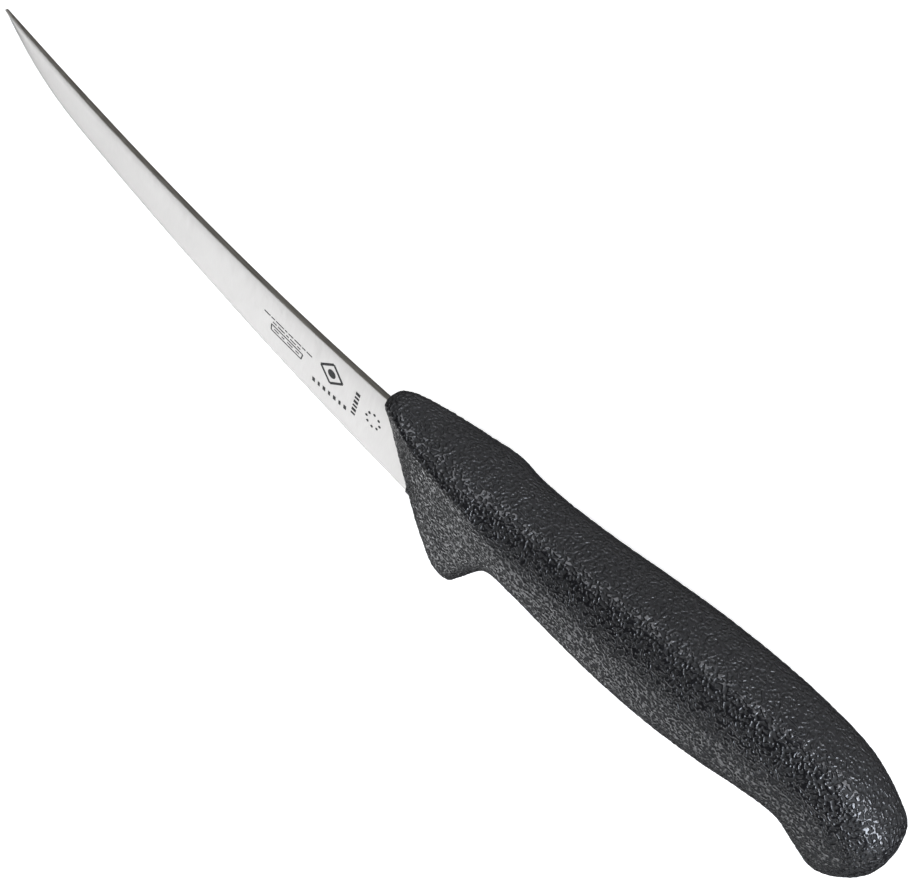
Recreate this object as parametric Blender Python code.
"""Curved boning knife with a moulded handle, lying on its side.

+X runs from the butt of the handle to the point of the blade, +Y from the spine to the cutting
edge, and +Z is up, square to the blade. The origin is under the middle of the knife, on the
surface that it lies on.

Design sizes are in millimetres. They are measured from the corner where the spine leaves the
handle, with Z = 0 in the middle of the blade's thickness. The scene is in metres.
"""

import math
from collections import namedtuple

import bmesh
import bpy
import numpy as np
from mathutils import Vector

MM = 0.001
GAP = 0.3

# Blade: the spine and the cutting edge are two shallow arcs that bend the same way, towards a
# point that sweeps up. The edge starts this far from the spine's corner and closes on the spine
# over the length of the point.
BLADE_LENGTH = 139.9
BLADE_THICKNESS = 1.6
POINT_THICKNESS = 0.8
THINNING_LENGTH = 36.0
SPINE_RADIUS = 628.0
SPINE_SLOPE = 0.066
SPINE_CHAMFER = 0.15
EDGE_OFFSET = 22.9
EDGE_RADIUS = 752.0
EDGE_SLOPE = 0.048
POINT_LENGTH = 34.0
POINT_FULLNESS = 3.0
POINT_WIDTH = 0.7

# Ground faces: a flat band stays next to the spine, and the rest tapers to the edge bevel.
BAND_SHARE_AT_HEEL = 0.38
BAND_SHARE_AT_POINT = 0.15
EDGE_THICKNESS = 0.4
EDGE_BEVEL = 0.8

# Near the point, where the blade is narrow, a chamfer or bevel takes at most this share of it.
CHAMFER_SHARE = 0.2
BEVEL_SHARE = 0.3

# Tang: the hidden tail of the blade, held by three plugs of the handle's own nylon.
HEEL_DEPTH = 4.0
TANG_LENGTH = 98.0
TANG_SLOPE = 0.105
TANG_WIDTH_AT_HEEL = 13.0
TANG_WIDTH_AT_END = 10.0
TANG_END_SHARE = 0.2
HEEL_STEP_LENGTH = 10.0
HEEL_PASSES = 12
TANG_HOLES = (-44.0, -64.0, -84.0)
TANG_HOLE_RADIUS = 3.0
HOLE_SEGMENTS = 24
CUTTER_DEPTH = 6.0
MOUTH_REACH = 12.0

# Handle: each station is one slice of the grip. Its crown is on the spine side and its keel on
# the edge side, ridge is where between them the slice is widest, width and keel_width are half
# thicknesses, and the two pairs of powers set how square the upper and lower part are.
Station = namedtuple("Station", "crown keel ridge width keel_width upper lower")
STATIONS = [
    Station((-1.7, -2.9), (-26.3, 33.7), 0.02, 3.2, 3.8, (2.0, 1.2), (2.4, 8.0)),
    Station((-5.0, -4.5), (-27.6, 35.3), 0.04, 4.9, 4.0, (2.0, 1.2), (2.4, 8.0)),
    Station((-13.0, -5.2), (-29.4, 37.2), 0.05, 7.4, 4.2, (2.0, 1.2), (2.4, 8.0)),
    Station((-23.0, -7.1), (-32.8, 36.8), 0.08, 9.3, 4.4, (2.0, 1.25), (2.4, 7.0)),
    Station((-33.0, -8.5), (-35.2, 32.1), 0.11, 10.5, 4.8, (2.0, 1.4), (2.4, 6.0)),
    Station((-41.0, -9.4), (-42.0, 18.0), 0.28, 10.5, 8.0, (2.2, 1.9), (2.3, 3.6)),
    Station((-49.0, -10.3), (-51.0, 13.5), 0.45, 10.4, 10.4, (2.6, 2.6), (2.6, 2.6)),
    Station((-61.0, -12.6), (-64.0, 13.0), 0.50, 10.8, 10.8, (2.7, 2.7), (2.7, 2.7)),
    Station((-75.0, -15.8), (-78.5, 12.4), 0.50, 11.4, 11.4, (2.7, 2.7), (2.7, 2.7)),
    Station((-89.0, -18.6), (-92.5, 10.3), 0.50, 11.7, 11.7, (2.7, 2.7), (2.7, 2.7)),
    Station((-103.0, -20.8), (-105.0, 7.3), 0.50, 11.3, 11.3, (2.7, 2.7), (2.7, 2.7)),
    Station((-116.0, -21.9), (-114.0, 4.6), 0.50, 10.7, 10.7, (2.6, 2.6), (2.6, 2.6)),
    Station((-129.2, -21.0), (-121.7, 3.5), 0.50, 10.0, 10.0, (2.5, 2.5), (2.5, 2.5)),
    Station((-140.8, -15.0), (-128.5, 7.5), 0.50, 9.2, 9.2, (2.4, 2.4), (2.4, 2.4)),
]
BUTT_POLE = (-142.0, 3.9)
BUTT_ANGLES = (30.0, 55.0, 75.0, 87.0)
ROWS_PER_STATION = 4
SLICE_POINTS = 36
FRONT_ROUNDING = 0.7

# Spacing of the slices along the blade and the tang.
BLADE_STEP = 4.0
POINT_STEP = 1.5
TANG_STEP = 6.0
TANG_END_STEPS = 6

STEEL = {"color": (0.66, 0.66, 0.65), "metallic": 1.0, "roughness": 0.28}
NYLON = {"color": (0.016, 0.016, 0.018), "metallic": 0.0, "roughness": 0.48}


def clear_scene():
    for thing in list(bpy.data.objects):
        bpy.data.objects.remove(thing, do_unlink=True)


def new_collection(name, hidden=False):
    collection = bpy.data.collections.new(name)
    collection.hide_render = hidden
    bpy.context.scene.collection.children.link(collection)
    return collection


def new_material(name, color, metallic, roughness):
    material = bpy.data.materials.new(name)
    material.use_nodes = True
    shader = material.node_tree.nodes["Principled BSDF"]
    shader.inputs["Base Color"].default_value = (*color, 1.0)
    shader.inputs["Metallic"].default_value = metallic
    shader.inputs["Roughness"].default_value = roughness
    return material


def loft(name, rings, collection):
    """A closed skin over rings of points in millimetres, with a flat face on each end."""
    work = bmesh.new()
    rows = [[work.verts.new(Vector(point) * MM) for point in ring] for ring in rings]
    for row, following in zip(rows, rows[1:]):
        for i in range(len(row)):
            j = (i + 1) % len(row)
            work.faces.new((row[i], row[j], following[j], following[i]))
    work.faces.new(rows[0])
    work.faces.new(rows[-1])
    bmesh.ops.recalc_face_normals(work, faces=work.faces)
    mesh = bpy.data.meshes.new(name)
    work.to_mesh(mesh)
    work.free()
    made = bpy.data.objects.new(name, mesh)
    collection.objects.link(made)
    return made


def cut(target, cutter):
    boolean = target.modifiers.new("cut_" + cutter.name, "BOOLEAN")
    boolean.operation = "DIFFERENCE"
    boolean.solver = "EXACT"
    boolean.object = cutter


def shade(piece, material, sharp_degrees):
    piece.data.materials.append(material)
    piece.data.shade_smooth()
    piece.data.set_sharp_from_angle(angle=math.radians(sharp_degrees))


# ---------------------------------------------------------------- blade and tang


def spine(x):
    """The Y of the spine, or of the tang's upper side behind it."""
    if x >= 0:
        return SPINE_SLOPE * x - x * x / (2 * SPINE_RADIUS)
    return TANG_SLOPE * x


def blade_width(x):
    """Spine to edge arc, closing in over the last stretch to the point."""
    edge = EDGE_OFFSET - EDGE_SLOPE * x - x * x / (2 * EDGE_RADIUS)
    width = edge - spine(x)
    from_point = (BLADE_LENGTH - x) / POINT_LENGTH
    if from_point >= 1:
        return width
    fullness = 1 - (1 - from_point) ** POINT_FULLNESS
    return POINT_WIDTH + (width - POINT_WIDTH) * fullness


def handle_front(y):
    """The X of the handle's front, which slopes back from the crown to the finger guard."""
    (crown_x, crown_y), (keel_x, keel_y) = STATIONS[0].crown, STATIONS[0].keel
    return crown_x + (keel_x - crown_x) * (y - crown_y) / (keel_y - crown_y)


def heel():
    """Where the edge ends, a little inside the handle. Each pass brings it closer."""
    x = 0.0
    for _ in range(HEEL_PASSES):
        x = handle_front(spine(x) + blade_width(x)) - HEEL_DEPTH
    return x


def tang_width(x):
    share = (x - heel() + HEEL_STEP_LENGTH) / (HEEL_STEP_LENGTH - TANG_LENGTH - heel())
    width = TANG_WIDTH_AT_HEEL + (TANG_WIDTH_AT_END - TANG_WIDTH_AT_HEEL) * share
    radius = TANG_WIDTH_AT_END / 2
    from_end = x + TANG_LENGTH
    if from_end >= radius:
        return width
    return width * math.sqrt(max(1 - (1 - from_end / radius) ** 2, TANG_END_SHARE**2))


def lower_side(x):
    """The Y of the cutting edge, of the step behind the heel, or of the tang's lower side."""
    back = heel()
    if x >= back:
        return spine(x) + blade_width(x)
    step_end = back - HEEL_STEP_LENGTH
    if x <= step_end:
        middle = spine(x) + TANG_WIDTH_AT_HEEL / 2
        return middle + tang_width(x) / 2
    share = (back - x) / HEEL_STEP_LENGTH
    return (1 - share) * lower_side(back) + share * lower_side(step_end)


def upper_side(x):
    if x > heel() - HEEL_STEP_LENGTH:
        return spine(x)
    return spine(x) + TANG_WIDTH_AT_HEEL / 2 - tang_width(x) / 2


def blade_slice(x, grow=0.0):
    """One slice of the blade: round the spine, down a face, round the edge and back up.

    grow moves every side outwards, for the space that the handle leaves for the tang.
    """
    top = upper_side(x) - grow
    bottom = lower_side(x) + grow
    thinning = min((BLADE_LENGTH - x) / THINNING_LENGTH, 1.0)
    thickness = POINT_THICKNESS + (BLADE_THICKNESS - POINT_THICKNESS) * math.sqrt(thinning)
    half = thickness / 2 + grow
    chamfer = min(SPINE_CHAMFER, CHAMFER_SHARE * (bottom - top))
    if x >= heel():
        from_point = (BLADE_LENGTH - x) / BLADE_LENGTH
        share = BAND_SHARE_AT_POINT + (BAND_SHARE_AT_HEEL - BAND_SHARE_AT_POINT) * from_point
        band = top + share * (bottom - top)
        bevel = min(EDGE_BEVEL, BEVEL_SHARE * (bottom - top))
        low_half = EDGE_THICKNESS / 2 * thickness / BLADE_THICKNESS + grow
    else:
        band = (top + bottom) / 2
        bevel = chamfer
        low_half = half
    tip_half = grow if x >= heel() else half - chamfer
    side = [
        (top, half - chamfer),
        (top + chamfer, half),
        (band, half),
        (bottom - bevel, low_half),
        (bottom, tip_half),
    ]
    far = [(y, -z) for y, z in reversed(side)]
    ring = side + far
    return [(x, y, z) for y, z in ring]


def blade_stations():
    """Where the blade is sliced, from the end of the tang to the point."""
    back = heel()
    radius = TANG_WIDTH_AT_END / 2
    ends = [
        radius * (1 - math.cos(math.pi / 2 * i / TANG_END_STEPS)) - TANG_LENGTH
        for i in range(TANG_END_STEPS)
    ]
    tang = np.arange(radius - TANG_LENGTH, back - HEEL_STEP_LENGTH - TANG_STEP / 2, TANG_STEP)
    step = [back - HEEL_STEP_LENGTH, back - GAP, back]
    belly = np.arange(back + BLADE_STEP, BLADE_LENGTH - POINT_LENGTH, BLADE_STEP)
    point = np.arange(BLADE_LENGTH - POINT_LENGTH, BLADE_LENGTH, POINT_STEP)
    return [*ends, *tang, *step, *belly, *point, BLADE_LENGTH]


def cylinder(name, x, y, radius, collection):
    work = bmesh.new()
    bmesh.ops.create_cone(
        work,
        cap_ends=True,
        segments=HOLE_SEGMENTS,
        radius1=radius * MM,
        radius2=radius * MM,
        depth=CUTTER_DEPTH * MM,
    )
    mesh = bpy.data.meshes.new(name)
    work.to_mesh(mesh)
    work.free()
    made = bpy.data.objects.new(name, mesh)
    made.location = (x * MM, y * MM, 0.0)
    made.display_type = "WIRE"
    made.hide_render = True
    collection.objects.link(made)
    return made


def make_blade(collection, cutters):
    blade = loft("blade", [blade_slice(x) for x in blade_stations()], collection)
    for number, x in enumerate(TANG_HOLES, 1):
        middle = (upper_side(x) + lower_side(x)) / 2
        cut(blade, cylinder(f"tang_hole_{number}", x, middle, TANG_HOLE_RADIUS, cutters))
    shade(blade, new_material("blade_steel", **STEEL), 25)
    return blade


# ---------------------------------------------------------------- handle


def butt_station(last, degrees):
    """The last slice again, shrunk and moved along towards the pole of the rounded butt."""
    angle = math.radians(degrees)
    shrink = math.cos(angle)
    middle = (Vector(last.crown) + Vector(last.keel)) / 2
    moved = middle + (Vector(BUTT_POLE) - middle) * math.sin(angle)
    return last._replace(
        crown=tuple(moved + (Vector(last.crown) - middle) * shrink),
        keel=tuple(moved + (Vector(last.keel) - middle) * shrink),
        width=last.width * shrink,
        keel_width=last.keel_width * shrink,
    )


def between(values, place):
    """The stations' values at a place among them, on a Catmull-Rom curve through each value."""
    last = len(values) - 1
    i = min(int(place), last - 1)
    t = place - i
    before, start = values[max(i - 1, 0)], values[i]
    end, after = values[i + 1], values[min(i + 2, last)]
    return 0.5 * (
        2 * start
        + (end - before) * t
        + (2 * before - 5 * start + 4 * end - after) * t**2
        + (3 * start - before - 3 * end + after) * t**3
    )


def handle_slice(values):
    """One slice of the handle: from the crown down one side to the keel, and back up."""
    crown, keel = Vector(values[0:2]), Vector(values[2:4])
    ridge, width, keel_width = values[4:7]
    upper_side_power, upper_end_power, lower_side_power, lower_end_power = values[7:11]
    half = SLICE_POINTS // 2
    side = []
    for i in range(half + 1):
        angle = math.pi * i / half
        across, along = math.sin(angle), abs(math.cos(angle))
        if i <= half / 2:
            share = ridge * (1 - along ** (2 / upper_end_power))
            thick = width * across ** (2 / upper_side_power)
        else:
            down = along ** (2 / lower_end_power)
            share = ridge + (1 - ridge) * down
            thick = (width + (keel_width - width) * down) * across ** (2 / lower_side_power)
        spot = crown + (keel - crown) * share
        side.append((spot.x, spot.y, thick))
    return side + [(x, y, -z) for x, y, z in reversed(side[1:-1])]


def front_slice(ring):
    """The first slice moved forward and drawn in, which rounds the handle's front edge."""
    crown, keel = Vector(ring[0]), Vector(ring[SLICE_POINTS // 2])
    middle = (crown + keel) / 2
    down = (keel - crown).normalized()
    forward = Vector((down.y, -down.x, 0.0))
    shorter = 1 - FRONT_ROUNDING / (keel - middle).length
    drawn = []
    for point in ring:
        along = (Vector(point) - middle).dot(down) * shorter
        thick = max(abs(point[2]) - FRONT_ROUNDING, 0.0)
        spot = middle + down * along + forward * FRONT_ROUNDING
        drawn.append((spot.x, spot.y, math.copysign(thick, point[2])))
    return drawn


def handle_rings():
    stations = STATIONS + [butt_station(STATIONS[-1], degrees) for degrees in BUTT_ANGLES]
    values = np.array([np.hstack(station) for station in stations])
    rows = (len(stations) - 1) * ROWS_PER_STATION + 1
    rings = [handle_slice(between(values, row / ROWS_PER_STATION)) for row in range(rows)]
    return [front_slice(rings[0]), *rings]


def make_handle(collection, cutters):
    handle = loft("handle", handle_rings(), collection)
    stations = [x for x in blade_stations() if x < MOUTH_REACH]
    stations[0] -= GAP
    space = loft("tang_space", [blade_slice(x, GAP) for x in stations], cutters)
    space.display_type = "WIRE"
    space.hide_render = True
    for number, x in enumerate(TANG_HOLES, 1):
        middle = (upper_side(x) + lower_side(x)) / 2
        cut(space, cylinder(f"plug_{number}", x, middle, TANG_HOLE_RADIUS - GAP, cutters))
    cut(handle, space)
    shade(handle, new_material("handle_nylon", **NYLON), 35)
    return handle


def put_on_table(pieces, helpers):
    """Moves everything so that the origin is under the middle of the knife."""
    bpy.context.view_layer.update()
    corners = [piece.matrix_world @ Vector(corner) for piece in pieces for corner in piece.bound_box]
    low = [min(corner[axis] for corner in corners) for axis in range(3)]
    high = [max(corner[axis] for corner in corners) for axis in range(3)]
    middle = Vector(((low[0] + high[0]) / 2, (low[1] + high[1]) / 2, low[2]))
    for thing in pieces + helpers:
        thing.location -= middle


clear_scene()
knife = new_collection("boning_knife")
guides = new_collection("cutters", hidden=True)
parts = [make_blade(knife, guides), make_handle(knife, guides)]
put_on_table(parts, list(guides.objects))
